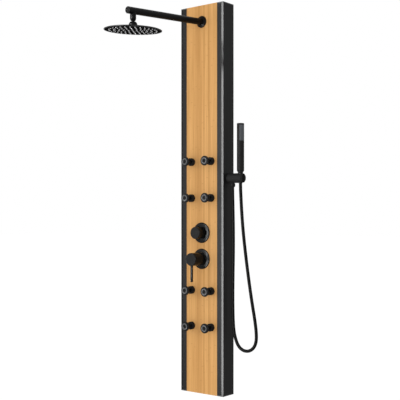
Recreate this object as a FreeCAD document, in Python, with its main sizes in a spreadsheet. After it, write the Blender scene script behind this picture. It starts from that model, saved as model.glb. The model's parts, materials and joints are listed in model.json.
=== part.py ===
import FreeCAD, Part
import math
import os
import re

import Sketcher

# Wall-hung shower panel column: a bamboo board in a black aluminium frame, with an overhead
# rain head on an arm, eight ball-jointed body jets, a diverter knob, a single-lever mixer,
# and a hand shower on a hose at the right side.
#
# Frame: millimetres. +Z is up, +Y points into the wall and +X to the right of someone who
# faces the column. The origin is the middle of the four wall screws: on the wall plane,
# on the column's centre line, at half its height.

DIMENSIONS = [
    # the column and its frame
    ("column_height", 1450, "overall height"),
    ("column_width", 200, "overall width"),
    ("column_depth", 65, "front face to wall"),
    ("cap_thickness", 4, "end cap plate"),
    ("lug_length", 15, "depth of an end cap's lugs inside the frame"),
    ("lug_depth", 36, "size of a lug from front to back"),
    ("lug_thickness", 10, "size of a lug across the column"),
    ("board_width", 144, "bamboo board"),
    ("board_thickness", 12, "bamboo board"),
    ("side_wall", 2, "side wall of the frame profile"),
    ("front_flange", 3, "front flange of the frame profile"),
    ("back_flange", 2.5, "thickness of the rear flange"),
    ("back_flange_width", 14, "width of the rear flange"),
    ("rebate_wall", 2.5, "wall beside the board"),
    ("shelf_width", 10, "shelf behind the board's edge"),
    ("shelf_thickness", 2, "shelf behind the board's edge"),
    ("bevel_width", 7.5, "bevel of the frame's front corner, seen from the front"),
    ("bevel_depth", 1.5, "bevel of the frame's front corner, seen from the side"),
    # hanging on the wall
    ("bracket_spacing", 1240, "between the upper and lower wall screws"),
    ("screw_spacing", 120, "between left and right wall screws"),
    ("wall_hole_radius", 3.5, "holes for the wall screws"),
    ("bracket_width", 160, "wall bracket"),
    ("bracket_height", 60, "wall bracket"),
    ("bracket_thickness", 2.5, "wall bracket's sheet"),
    ("bar_thickness", 2.5, "hanger bar"),
    ("bar_height", 30, "hanger bar"),
    ("bar_gap", 0.5, "hanger bar to side wall"),
    ("hook_rise", 8, "hook's lip above its floor"),
    ("hook_gap", 0.3, "hook's lip to hanger bar"),
    ("fixing_inset", 8, "hanger screws from the column's sides"),
    ("fixing_rise", 8, "lower hanger screws above the bar's bottom"),
    ("fixing_spacing", 14, "between two hanger screws"),
    ("fixing_radius", 2, "hanger screw"),
    ("fixing_head_radius", 3.8, "hanger screw's head"),
    ("fixing_head", 2.5, "hanger screw's head height"),
    ("fixing_end", 0.4, "hanger screw's tip to the wall plane"),
    ("free_fit", 0.05, "radial play of a turning or screwed fit"),
    # overhead arm
    ("arm_height", 663.1, "arm where it meets the board"),
    ("arm_slope", 4.55, "fall of the arm, in degrees"),
    ("arm_radius", 12, "arm tube"),
    ("arm_bore", 9, "arm tube's bore"),
    ("arm_reach", 402, "front face to the arm's tip"),
    ("arm_tip_chamfer", 1.2, "arm's tip"),
    ("arm_end_wall", 5, "closed end of the arm"),
    ("spout_reach", 375, "front face to the spout's axis"),
    ("spout_radius", 10.5, "spout under the arm"),
    ("spout_bottom", 599, "lower end of the spout"),
    ("spout_taper", 6, "height of the spout's tapered end"),
    ("spout_end_radius", 8, "spout's lower end"),
    ("tube_start", 1, "front face to the sloping tube"),
    ("nipple_radius", 10.4, "arm's threaded inlet"),
    ("nipple_depth", 24, "front face to the inlet's end"),
    ("nipple_hole_radius", 11, "board's hole for the arm"),
    ("arm_rose_radius", 22, "arm's cover ring"),
    ("arm_rose_hole", 12.9, "arm's cover ring, inside"),
    ("arm_rose_height", 8, "arm's cover ring"),
    # ball joint and rain head
    ("head_ball_height", 587, "centre of the head's ball"),
    ("head_ball_radius", 9, "head's ball"),
    ("head_neck_radius", 5.5, "neck above the ball"),
    ("stud_thread_radius", 7, "ball stud's thread in the spout"),
    ("stud_thread_length", 10, "ball stud's thread in the spout"),
    ("seat_radius", 11, "outside of the ball's seat rings"),
    ("socket_radius", 11.1, "socket in the swivel nut"),
    ("seal_bottom", 6.2, "seal ring's lower edge below the ball's centre"),
    ("seal_top", 3.2, "seal ring's upper edge below the ball's centre"),
    ("seat_bottom", 0.5, "seat ring's lower edge below the ball's centre"),
    ("seat_top", 5, "seat ring's upper edge above the ball's centre"),
    ("nut_radius", 14.7, "swivel nut, at its widest"),
    ("nut_straight_top", 1, "top of the swivel nut's straight side above the ball's centre"),
    ("nut_mouth_radius", 8.8, "swivel nut's mouth"),
    ("nut_shoulder_radius", 13, "swivel nut's shoulder"),
    ("nut_shoulder", 4, "swivel nut's shoulder above the ball's centre"),
    ("nut_top_radius", 10.5, "swivel nut, top"),
    ("nut_top", 8, "swivel nut's top above the ball's centre"),
    ("head_radius", 99, "rain head"),
    ("head_rim", 2.2, "rain head's edge"),
    ("head_edge_width", 6, "rain head's sloping edge, seen from above"),
    ("head_edge_rise", 2.5, "rise of the sloping edge"),
    ("head_dish_rise", 5.3, "rise of the top from its edge to its middle part"),
    ("head_wall", 3.2, "wall round the spray plate"),
    ("head_drop", 20.5, "ball's centre to the spray face"),
    ("head_boss_radius", 12.5, "threaded boss on the rain head"),
    ("head_boss_top", 6, "boss's top below the ball's centre"),
    ("boss_bore_radius", 9.6, "boss's bore"),
    ("boss_bore_depth", 3, "boss's bore"),
    ("boss_side_bottom", 11.7, "lower end of the boss's side below the ball's centre"),
    ("boss_root", 12, "boss's root below the ball's centre"),
    ("boss_root_radius", 18.75, "boss's root"),
    ("dish_foot_radius", 39.6, "middle part of the rain head's top"),
    ("water_radius", 59.4, "deepest part of the rain head's hollow"),
    ("water_depth", 2, "rain head's hollow above the mat"),
    ("plate_thickness", 1.6, "spray plate"),
    ("mat_thickness", 1, "nozzle mat"),
    ("nozzle_radius", 2.1, "rubber nozzle"),
    ("nozzle_rise", 1.8, "rubber nozzle's tip below the plate"),
    ("nozzle_play", 0.1, "nozzle in its hole"),
    ("nozzle_pitch", 16.2, "between two rings of nozzles"),
    ("head_tilt_side", 3.6, "rain head's lean to the right at rest, in degrees"),
    ("head_tilt_front", 1.9, "rain head's lean to the front at rest, in degrees"),
    # body jets
    ("jet_spacing", 92, "between the left and right jets"),
    ("jet_row_1", 141, "height of the top jets"),
    ("jet_row_2", 5, "height of the second jets"),
    ("jet_row_3", -340, "height of the third jets"),
    ("jet_row_4", -474, "height of the lowest jets"),
    ("jet_shank_radius", 10, "jet base's thread"),
    ("jet_shank_back", 40, "thread's end from the wall plane"),
    ("jet_hole_radius", 10.3, "board's hole for a jet"),
    ("jet_collar_radius", 14.5, "jet base's collar"),
    ("jet_collar_length", 13, "jet base's collar"),
    ("jet_bore_radius", 4, "waterway"),
    ("jet_pivot", 8, "ball's centre from the front face"),
    ("jet_ball_radius", 8.5, "jet's ball"),
    ("jet_ring_inner", 8.6, "swivel ring, inside"),
    ("jet_ring_outer", 10.2, "swivel ring, outside"),
    ("jet_ring_width", 7, "swivel ring along the jet"),
    ("jet_socket_radius", 10.3, "socket in the base"),
    ("jet_neck_radius", 6.9, "neck in front of the ball"),
    ("jet_neck_length", 9, "ball's centre to the neck's end"),
    ("jet_waist_radius", 9.5, "start of the jet's cone"),
    ("jet_waist", 12, "ball's centre to the start of the cone"),
    ("jet_head_radius", 18, "jet's face"),
    ("jet_reach", 45, "front face to the nozzle ring"),
    ("jet_lip", 1.5, "nozzle ring in front of the jet's face"),
    ("jet_rim", 4.5, "jet's straight edge, from its face"),
    ("jet_rim_back", 7.5, "end of the jet's cone, from its face"),
    ("jet_nozzle_outer", 11.5, "nozzle ring, outside"),
    ("jet_nozzle_inner", 6.5, "nozzle ring, inside"),
    ("jet_nut_radius", 15, "jet's lock nut over its corners"),
    ("jet_nut_height", 5, "jet's lock nut"),
    # valve and pipes inside
    ("valve_front", 47, "valve block's front from the wall plane"),
    ("valve_back", 22, "valve block's back from the wall plane"),
    ("valve_top", -98, "valve block's upper end"),
    ("valve_bottom", -280, "valve block's lower end"),
    ("valve_arm_height", 52, "height of the block's upper arm"),
    ("valve_foot_height", 40, "height of the block's lower arm"),
    ("valve_half_width", 52, "reach of the block's arms to each side"),
    ("valve_web", 24, "half the width of the block's middle"),
    ("inlet_radius", 10.48, "half inch inlet thread"),
    ("inlet_bore", 7, "inlet's bore"),
    ("inlet_spacing", 76, "between the hot and cold inlets"),
    ("inlet_height", -260, "hot and cold inlets"),
    ("inlet_end", 8, "inlet's end from the wall plane"),
    ("pipe_depth", 34, "jet pipes' axes from the wall plane"),
    ("pipe_radius", 6, "jet pipe"),
    ("pipe_bore", 4.5, "jet pipe's bore"),
    ("branch_radius", 4.8, "branch from a jet pipe to a jet"),
    ("pipe_end", 10, "jet pipe past the last jet"),
    ("riser_depth", 35, "riser's axis from the wall plane"),
    ("riser_radius", 8, "riser to the arm"),
    ("riser_bore", 6, "riser's bore"),
    ("elbow_bottom", 640, "lower end of the arm's elbow"),
    ("elbow_radius", 13.5, "arm's elbow"),
    ("elbow_flange_radius", 18, "elbow's flange behind the board"),
    ("elbow_flange_width", 3, "elbow's flange behind the board"),
    ("elbow_back", 24, "elbow's back from the wall plane"),
    ("feed_radius", 5, "feed pipe to the hand shower"),
    ("feed_bore", 3.8, "feed pipe's bore"),
    ("feed_depth", 20, "feed pipe's upright run from the wall plane"),
    ("feed_turn", 60, "where the feed pipe starts to come forward"),
    ("feed_level", 70, "where the feed pipe is level with the holder"),
    # mixer
    ("mixer_height", -222, "mixer's axis"),
    ("rose_radius", 38.3, "cover ring of the mixer and of the diverter"),
    ("rose_edge", 1.2, "height of the cover ring's outer edge"),
    ("rose_corner", 0.8, "first bend of the cover ring's round shoulder, from its edge"),
    ("rose_corner_height", 2.6, "height of the first bend"),
    ("rose_shoulder", 2.2, "second bend of the shoulder, from the edge"),
    ("rose_shoulder_height", 3.7, "height of the second bend"),
    ("rose_slope_start", 4.2, "outer end of the sloping face, from the edge"),
    ("rose_slope_foot", 4.5, "height of the sloping face's outer end"),
    ("rose_slope_end", 11.3, "inner end of the sloping face, from the edge"),
    ("rose_height", 5.9, "height of the sloping face's inner end"),
    ("rose_lip", 1, "width of the step inside the sloping face"),
    ("rose_dish", 1.8, "cover ring's height beside its hole"),
    ("sleeve_chamfer", 1, "front edge of the valve's sleeves"),
    ("sleeve_floor", 3, "wall behind the bore of the valve's sleeves"),
    ("mixer_rose_hole", 24, "mixer's cover ring, inside"),
    ("sleeve_radius", 23.5, "mixer's fixed sleeve"),
    ("sleeve_back_radius", 21.5, "sleeve behind the front face"),
    ("sleeve_top", 7, "sleeve's end from the front face"),
    ("mixer_hole_radius", 22, "board's hole for the mixer"),
    ("mixer_pivot", 12, "tilt axis from the front face"),
    ("dome_radius", 20.8, "turret's dome"),
    ("dome_top", 26, "turret's flat end from the front face"),
    ("turret_play", 0.3, "between the turret's dome and the sleeve"),
    ("shank_radius", 10, "turret's shank"),
    ("tongue_play", 0.2, "each side of the tongue in the turret"),
    ("slot_below", 2, "turret's slot below the tongue"),
    ("slot_above", 7, "turret's slot above the tongue, for its tilt"),
    ("slot_end", 0.5, "turret's slot behind the tongue"),
    ("handle_radius", 23.9, "mixer's handle"),
    ("handle_bore", 21.2, "handle's hollow"),
    ("handle_back", 18, "handle's rear rim from the front face"),
    ("handle_front", 66, "handle's front from the front face"),
    ("handle_wall", 14, "handle's front wall"),
    ("handle_chamfer", 1.5, "handle's front edge"),
    ("handle_edge", 1, "handle's rear edge"),
    ("handle_root", 1, "tongue's root in the handle's front wall"),
    ("tongue_width", 12, "handle's tongue in the turret"),
    ("tongue_radius", 5, "tongue's round end"),
    ("pivot_radius", 2.5, "tilt pin"),
    ("pivot_length", 30, "tilt pin"),
    ("lever_place", 59, "lever's axis from the front face"),
    ("lever_radius", 4.9, "lever"),
    ("lever_bottom", 83.5, "lever's tip below the mixer's axis"),
    ("lever_start", 11, "lever's upper end below the mixer's axis"),
    ("lever_tip", 2.45, "height of the lever's rounded tip"),
    ("lever_tip_flat", 2.45, "flat end of the lever's tip"),
    ("lever_tip_middle", 0.98, "middle of the tip's curve above its end"),
    ("lever_tip_shoulder", 4.165, "middle of the tip's curve"),
    # diverter
    ("diverter_height", -124.5, "diverter's axis"),
    ("diverter_rose_hole", 19.5, "diverter's cover ring, inside"),
    ("bonnet_radius", 19, "diverter's fixed bonnet"),
    ("bonnet_back_radius", 18.5, "bonnet behind the front face"),
    ("bonnet_top", 7, "bonnet's end from the front face"),
    ("diverter_hole_radius", 19.6, "board's hole for the diverter"),
    ("spindle_radius", 5, "diverter's spindle"),
    ("spindle_front", 31, "spindle's end from the front face"),
    ("spindle_play", 0.3, "in front of the spindle's end"),
    ("knob_radius", 22.5, "diverter's knob"),
    ("knob_back", 9.5, "knob's back from the front face"),
    ("knob_front", 40.5, "knob's front from the front face"),
    ("knob_chamfer", 1.5, "knob's edges"),
    # hand shower and its holder
    ("holder_height", 77, "holder's axis"),
    ("holder_depth", 32.5, "holder's axis from the wall plane"),
    ("holder_radius", 18, "holder"),
    ("holder_length", 68, "holder from the column's side"),
    ("holder_chamfer", 2.4, "holder's outer edge"),
    ("holder_shank_radius", 10, "holder's thread through the side wall"),
    ("holder_shank", 18, "thread inside the column"),
    ("holder_hole_play", 0.3, "radial play in holes of the side wall"),
    ("holder_nut_radius", 15, "holder's lock nut over its corners"),
    ("holder_nut_height", 5, "holder's lock nut"),
    ("cradle_place", 55, "hand shower's axis from the column's side"),
    ("cradle_slot", 13.5, "slot that lets the hose out"),
    ("cradle_above", 3, "taper of the holder's hole past the cone nut"),
    ("outlet_place", 19.2, "hose outlet's axis from the column's side"),
    ("outlet_radius", 8, "outlet's thread"),
    ("outlet_bottom", 49, "outlet's lower end"),
    ("outlet_nut_radius", 9.9, "hose nut at the outlet"),
    ("outlet_nut_top", 57.3, "hose nut's upper end"),
    ("outlet_nut_foot", 2, "hose nut's lower edge"),
    ("outlet_nut_edge", 0.5, "hose nut's upper edge"),
    ("hose_start", 45, "where the hose leaves its nut"),
    ("hose_end", 58, "where the hose meets the cone nut"),
    ("hose_radius", 6, "hose"),
    ("cone_top", 95.3, "cone nut's upper end"),
    ("cone_top_radius", 9.3, "cone nut, top"),
    ("cone_bottom_radius", 7.6, "cone nut, bottom"),
    ("cone_spigot", 12, "cone nut's thread in the hand shower"),
    ("cone_spigot_radius", 7.9, "cone nut's thread"),
    ("stick_radius", 13.3, "hand shower"),
    ("stick_bore", 8, "hand shower's bore"),
    ("stick_foot_radius", 11.2, "middle of the hand shower's tapered foot"),
    ("stick_foot", 5.5, "height of the foot's lower half"),
    ("stick_cone", 8.2, "height of the hand shower's tapered foot"),
    ("stick_top", 272.5, "hand shower's body, upper end"),
    ("stick_cap", 4.2, "hand shower's end cap"),
    ("cap_edge", 1.2, "end cap's rounded edge"),
    ("cap_edge_middle", 0.4, "middle of the end cap's rounded edge"),
    ("spray_angle", -29.2, "spray face's direction from +X, in degrees"),
    ("spray_offset", 9.6, "spray face's seat from the stick's axis"),
    ("spray_bottom", 213, "spray face's lower end"),
    ("spray_top", 271, "spray face's upper end"),
    ("spray_radius", 13.15, "spray face's curve"),
    ("spray_gap", 0.2, "spray face in its seat, at each end"),
]

JET_ROWS = ["jet_row_1", "jet_row_2", "jet_row_3", "jet_row_4"]
NOZZLE_RINGS = 5
NOZZLES_PER_RING_STEP = 6
NOZZLE_START = math.radians(36)

# The hose hangs in one upright plane. Each point is its distance out from the column's side
# and its height, from the outlet nut down, round the loop and up to the cone nut.
HOSE_ROUTE = [
    (19.2, 45),
    (19.5, 20),
    (20.8, -26),
    (22.5, -96),
    (23, -186),
    (21, -280),
    (20.2, -360),
    (21, -428),
    (24, -478),
    (31.5, -510),
    (45, -538.5),
    (67, -553),
    (92.5, -553),
    (114.2, -539),
    (125.2, -514.5),
    (125, -480.5),
    (118.5, -437),
    (106.5, -378),
    (92.7, -300),
    (78.6, -208),
    (67.3, -124),
    (60.2, -46),
    (56.4, 16),
    (55, 44),
    (55, 58),
]

PLUS_X = FreeCAD.Vector(1, 0, 0)
PLUS_Y = FreeCAD.Vector(0, 1, 0)
PLUS_Z = FreeCAD.Vector(0, 0, 1)
# Turns that lay a cylinder's or a turned piece's own +Z along the direction of their name.
TURNS = {
    "+Z": FreeCAD.Rotation(),
    "-Z": FreeCAD.Rotation(PLUS_X, 180),
    "+X": FreeCAD.Rotation(PLUS_Y, 90),
    "+Y": FreeCAD.Rotation(PLUS_X, -90),
    "-Y": FreeCAD.Rotation(PLUS_X, 90),
}

document = FreeCAD.newDocument("ShowerPanelColumn")
sheet = document.addObject("Spreadsheet::Sheet", "Sizes")
for row, (alias, number, meaning) in enumerate(DIMENSIONS, start=1):
    sheet.set(f"A{row}", meaning)
    sheet.set(f"B{row}", str(number))
    sheet.setAlias(f"B{row}", alias)
document.recompute()

front = "-column_depth"
side = "column_width / 2"
handset_x = "column_width / 2 + cradle_place"
outlet_x = "column_width / 2 + outlet_place"
head_y = "-column_depth - spout_reach"


# ---- working with the sheet


def linked(expression):
    """The expression with each of the sheet's names in the form that the document reads."""
    return re.sub(r"[a-z]+(?:_[a-z0-9]+)+", r"Sizes.\g<0>", str(expression))


def size(expression):
    """The number that an expression of the sheet's names stands for."""
    return float(sheet.evalExpression(linked(expression)))


def bind(item, **properties):
    for name, expression in properties.items():
        item.setExpression(name, linked(expression))


def place(item, x, y, z, turn="+Z"):
    """Turns a piece and binds where its own origin lies."""
    base = FreeCAD.Vector(size(x), size(y), size(z))
    item.Placement = FreeCAD.Placement(base, TURNS[turn])
    for axis, expression in (("x", x), ("y", y), ("z", z)):
        item.setExpression(f"Placement.Base.{axis}", linked(expression))
    return item


def place_freely(item, placement):
    """Gives a piece a place that isn't bound axis by axis."""
    for axis in ("x", "y", "z"):
        item.setExpression(f"Placement.Base.{axis}", None)
    item.Placement = placement
    return item


# ---- plain solids, each named after the piece that it belongs to


def box(name, x, y, z, length, width, height):
    """A box from its lowest corner, with its sizes along X, Y and Z."""
    item = document.addObject("Part::Box", name)
    bind(item, Length=length, Width=width, Height=height)
    return place(item, x, y, z)


def rod(name, x, y, z, turn, radius, length):
    """A cylinder from the middle of its first end."""
    item = document.addObject("Part::Cylinder", name)
    bind(item, Radius=radius, Height=length)
    return place(item, x, y, z, turn)


def cone(name, x, y, z, turn, first_radius, last_radius, length):
    item = document.addObject("Part::Cone", name)
    bind(item, Radius1=first_radius, Radius2=last_radius, Height=length)
    return place(item, x, y, z, turn)


def ball(name, x, y, z, radius):
    item = document.addObject("Part::Sphere", name)
    bind(item, Radius=radius)
    return place(item, x, y, z)


def hexagon(name, x, y, z, turn, corner_radius, height):
    item = document.addObject("Part::Prism", name)
    item.Polygon = 6
    bind(item, Circumradius=corner_radius, Height=height)
    return place(item, x, y, z, turn)


def fused(name, *pieces):
    item = document.addObject("Part::MultiFuse", name)
    item.Shapes = list(pieces)
    return item


def cut(name, base, *tools):
    item = document.addObject("Part::Cut", name)
    item.Base = base
    item.Tool = tools[0] if len(tools) == 1 else fused(f"{name}_tools", *tools)
    return item


def common(name, first, second):
    item = document.addObject("Part::Common", name)
    item.Base = first
    item.Tool = second
    return item


def group(name, pieces):
    item = document.addObject("Part::Compound", name)
    item.Links = list(pieces)
    return item


# ---- bodies made from sketches


def origin_plane(body, role):
    return [plane for plane in body.Origin.OriginFeatures if plane.Role == role][0]


def new_sketch(body, name, role):
    sketch = body.newObject("Sketcher::SketchObject", name)
    sketch.AttachmentSupport = [(origin_plane(body, role), "")]
    sketch.MapMode = "FlatFace"
    return sketch


def fix_point(sketch, edge, end, x, y):
    """Ties an edge's end or a circle's centre to the sketch's origin by two bound distances."""
    for kind, expression in (("DistanceX", x), ("DistanceY", y)):
        rule = Sketcher.Constraint(kind, -1, 1, edge, end, size(expression))
        number = sketch.addConstraint(rule)
        sketch.setExpression(f"Constraints[{number}]", linked(expression))


def draw_outline(sketch, outline):
    """A closed outline of straight lines through points given as pairs of expressions."""
    corners = [FreeCAD.Vector(size(x), size(y), 0) for x, y in outline]
    count = len(corners)
    for k in range(count):
        sketch.addGeometry(Part.LineSegment(corners[k], corners[(k + 1) % count]))
    for k in range(count):
        sketch.addConstraint(Sketcher.Constraint("Coincident", k, 2, (k + 1) % count, 1))
    for k, (x, y) in enumerate(outline):
        fix_point(sketch, k, 1, x, y)


def draw_circles(sketch, circles):
    """Circles given as (x, y, radius) expressions."""
    centre_point = 3
    for x, y, radius in circles:
        centre = FreeCAD.Vector(size(x), size(y), 0)
        edge = sketch.addGeometry(Part.Circle(centre, PLUS_Z, size(radius)))
        fix_point(sketch, edge, centre_point, x, y)
        number = sketch.addConstraint(Sketcher.Constraint("Radius", edge, size(radius)))
        sketch.setExpression(f"Constraints[{number}]", linked(radius))


def extruded(name, outline, length, z):
    """A body of constant section: the outline in X and Y, padded up from height z."""
    body = document.addObject("PartDesign::Body", name)
    sketch = new_sketch(body, f"{name}_section", "XY_Plane")
    draw_outline(sketch, outline)
    pad = body.newObject("PartDesign::Pad", f"{name}_pad")
    pad.Profile = sketch
    bind(pad, Length=length)
    return place(body, 0, 0, z)


def turned(name, profile, x, y, z, turn):
    """A body turned about its own +Z: the profile holds (radius, height) expressions."""
    body = document.addObject("PartDesign::Body", name)
    sketch = new_sketch(body, f"{name}_profile", "XZ_Plane")
    draw_outline(sketch, profile)
    revolution = body.newObject("PartDesign::Revolution", f"{name}_turn")
    revolution.Profile = sketch
    revolution.ReferenceAxis = (sketch, ["V_Axis"])
    revolution.Angle = 360
    return place(body, x, y, z, turn)


# ---- bent tubes


def bent_path(points):
    """Straight runs joined by tangent arcs, each as large as its two runs allow.
    Returns the wire and the smallest arc's radius."""
    share_of_run = 0.45
    edges = []
    radii = []
    start = points[0]
    for before, corner, after in zip(points, points[1:], points[2:]):
        come = (corner - before).normalize()
        go = (after - corner).normalize()
        half_turn = come.getAngle(go) / 2
        tangent = share_of_run * min(
            before.distanceToPoint(corner), corner.distanceToPoint(after)
        )
        radius = tangent / math.tan(half_turn)
        inward = (go - come).normalize()
        arc_start = corner - come * tangent
        arc_end = corner + go * tangent
        arc_middle = corner + inward * (radius / math.cos(half_turn) - radius)
        edges.append(Part.LineSegment(start, arc_start).toShape())
        edges.append(Part.Arc(arc_start, arc_middle, arc_end).toShape())
        radii.append(radius)
        start = arc_end
    edges.append(Part.LineSegment(start, points[-1]).toShape())
    return Part.Wire(edges), radii


def swept_round(path, points, radius):
    section = Part.Wire([Part.makeCircle(radius, points[0], points[1] - points[0])])
    return path.makePipeShell([section], True, False)


def bent_tube(name, points, radius, bore=None):
    """A tube along the points, solid where it has no bore."""
    path, radii = bent_path(points)
    shape = swept_round(path, points, size(radius))
    section = math.pi * size(radius) ** 2
    if bore is not None:
        shape = shape.cut(swept_round(path, points, size(bore)))
        section -= math.pi * size(bore) ** 2
    item = document.addObject("Part::Feature", name)
    item.Shape = shape
    share = shape.Volume / (section * path.Length)
    print(f"{name}: length {path.Length:.1f} mm, volume over section x length {share:.4f}")
    print(f"{name}: arc radii " + " ".join(f"{r:.0f}" for r in radii))
    return item


# ---- the column


def board():
    """The bamboo board, bored for the arm, the jets and the two valves."""
    name = "bamboo_front_board"
    body = document.addObject("PartDesign::Body", name)
    outline = new_sketch(body, f"{name}_outline", "XZ_Plane")
    half_width = "board_width / 2"
    half_height = "column_height / 2"
    draw_outline(
        outline,
        [
            (f"-{half_width}", f"-{half_height}"),
            (half_width, f"-{half_height}"),
            (half_width, half_height),
            (f"-{half_width}", half_height),
        ],
    )
    pad = body.newObject("PartDesign::Pad", f"{name}_pad")
    pad.Profile = outline
    bind(pad, Length="board_thickness")
    holes = new_sketch(body, f"{name}_holes", "XZ_Plane")
    circles = [
        ("0", "arm_height", "nipple_hole_radius"),
        ("0", "diverter_height", "diverter_hole_radius"),
        ("0", "mixer_height", "mixer_hole_radius"),
    ]
    circles += [(x, z, "jet_hole_radius") for x, z in jet_places()]
    draw_circles(holes, circles)
    pocket = body.newObject("PartDesign::Pocket", f"{name}_pocket")
    pocket.Profile = holes
    pocket.Type = "ThroughAll"
    pocket.Midplane = True
    return place(body, 0, f"{front} + board_thickness", 0)


def mirrored(outline, hand):
    return [(f"{hand} * ({x})", y) for x, y in outline]


def side_profile(name, hand):
    """The frame's extrusion: bevelled front strip, side wall and rear flange, with a rebate
    and a shelf that hold the board's edge."""
    bevel_start = f"{side} - bevel_width"
    board_edge = "board_width / 2"
    board_back = f"{front} + board_thickness"
    section = [
        (board_edge, front),
        (bevel_start, front),
        (side, f"{front} + bevel_depth"),
        (side, "0"),
        (f"{side} - back_flange_width", "0"),
        (f"{side} - back_flange_width", "-back_flange"),
        (f"{side} - side_wall", "-back_flange"),
        (f"{side} - side_wall", f"{front} + front_flange + bevel_depth"),
        (bevel_start, f"{front} + front_flange"),
        (f"{board_edge} + rebate_wall", f"{front} + front_flange"),
        (f"{board_edge} + rebate_wall", f"{board_back} + shelf_thickness"),
        (f"{board_edge} - shelf_width", f"{board_back} + shelf_thickness"),
        (f"{board_edge} - shelf_width", board_back),
        (board_edge, board_back),
    ]
    base = extruded(
        f"{name}_extrusion",
        mirrored(section, hand),
        "column_height - 2 * cap_thickness",
        "cap_thickness - column_height / 2",
    )
    holes = []
    for k, (x, z) in enumerate(fixing_places(hand)):
        hole = rod(f"{name}_hole_{k}", x, "-bar_thickness - back_flange", z, "+Y",
                   "fixing_radius + free_fit", "bar_thickness + back_flange + fixing_end")
        holes.append(hole)
    if hand > 0:
        outlet = rod(f"{name}_outlet", f"{side} - 3 * side_wall", "-holder_depth", "holder_height",
                     "+X", "holder_shank_radius + holder_hole_play", "6 * side_wall")
        holes.append(outlet)
    return cut(name, base, *holes)


def end_cap(name, z, lug_z):
    """A plate over the frame's end, open at the front for the board, with two lugs that
    fit inside the side walls."""
    bevel_start = f"{side} - bevel_width"
    half_board = "board_width / 2"
    board_back = f"{front} + board_thickness"
    right_half = [
        (side, "0"),
        (side, f"{front} + bevel_depth"),
        (bevel_start, front),
        (half_board, front),
        (half_board, board_back),
    ]
    left_half = [(f"-({x})", y) for x, y in reversed(right_half)]
    plate = extruded(f"{name}_plate", right_half + left_half, "cap_thickness", z)
    lugs = []
    for hand in (-1, 1):
        lug_x = f"{hand} * ({side} - side_wall - lug_thickness / 2) - lug_thickness / 2"
        lug = box(f"{name}_lug_{hand + 1}", lug_x, "-(column_depth + lug_depth) / 2", lug_z,
                  "lug_thickness", "lug_depth", "lug_length")
        lugs.append(lug)
    return fused(name, plate, *lugs)


# ---- hanging on the wall


def bracket_tops():
    """Heights of the two wall brackets' upper edges."""
    return [
        ("upper", "bracket_spacing / 2 + bracket_height / 2"),
        ("lower", "bracket_height / 2 - bracket_spacing / 2"),
    ]


def fixing_places(hand):
    """The hanger screws at one side, as (x, z)."""
    x = f"{hand} * ({side} - fixing_inset)"
    places = []
    for _, top in bracket_tops():
        places.append((x, f"{top} + fixing_rise"))
        places.append((x, f"{top} + fixing_rise + fixing_spacing"))
    return places


def wall_bracket(label, top):
    """A plate on the wall, folded forward and up along its top edge into a hook."""
    name = f"wall_bracket_{label}"
    left = "-bracket_width / 2"
    hook_depth = "2 * bracket_thickness + bar_thickness + hook_gap"
    plate = box(f"{name}_plate", left, "-bracket_thickness", f"{top} - bracket_height",
                "bracket_width", "bracket_thickness", "bracket_height")
    floor = box(f"{name}_floor", left, f"-({hook_depth})", f"{top} - bracket_thickness",
                "bracket_width", hook_depth, "bracket_thickness")
    lip = box(f"{name}_lip", left, f"-({hook_depth})", f"{top} - bracket_thickness",
              "bracket_width", "bracket_thickness", "bracket_thickness + hook_rise")
    holes = []
    for hand in (-1, 1):
        hole = rod(f"{name}_hole_{hand + 1}", f"{hand} * screw_spacing / 2",
                   "-2 * bracket_thickness", f"{top} - bracket_height / 2", "+Y",
                   "wall_hole_radius", "3 * bracket_thickness")
        holes.append(hole)
    return cut(name, fused(f"{name}_sheet", plate, floor, lip), *holes)


def hanger_bar(label, top):
    """The bar across the frame's rear flanges that stands in a wall bracket's hook."""
    name = f"hanger_bar_{label}"
    bar = box(f"{name}_bar", f"bar_gap + side_wall - {side}", "-bracket_thickness - bar_thickness",
              top, "column_width - 2 * side_wall - 2 * bar_gap", "bar_thickness", "bar_height")
    holes = []
    for hand in (-1, 1):
        for rise in ("fixing_rise", "fixing_rise + fixing_spacing"):
            hole = rod(f"{name}_hole_{len(holes)}", f"{hand} * ({side} - fixing_inset)",
                       "-2 * bracket_thickness - bar_thickness", f"{top} + {rise}", "+Y",
                       "fixing_radius + free_fit", "3 * bracket_thickness")
            holes.append(hole)
    return cut(name, bar, *holes)


def hanger_screws():
    """Pan-head screws that hold the hanger bars to the frame's rear flanges."""
    bar_front = "-bracket_thickness - bar_thickness"
    screws = []
    for hand in (-1, 1):
        for x, z in fixing_places(hand):
            name = f"hanger_screw_{len(screws) + 1}"
            head = rod(f"{name}_head", x, bar_front, z, "-Y", "fixing_head_radius", "fixing_head")
            shank = rod(f"{name}_shank", x, f"{bar_front} - fixing_head / 2", z, "+Y", "fixing_radius",
                        "bracket_thickness + bar_thickness + fixing_head / 2 - fixing_end")
            screws.append(fused(name, head, shank))
    return group("hanger_screws", screws)


# ---- overhead arm and rain head


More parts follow.
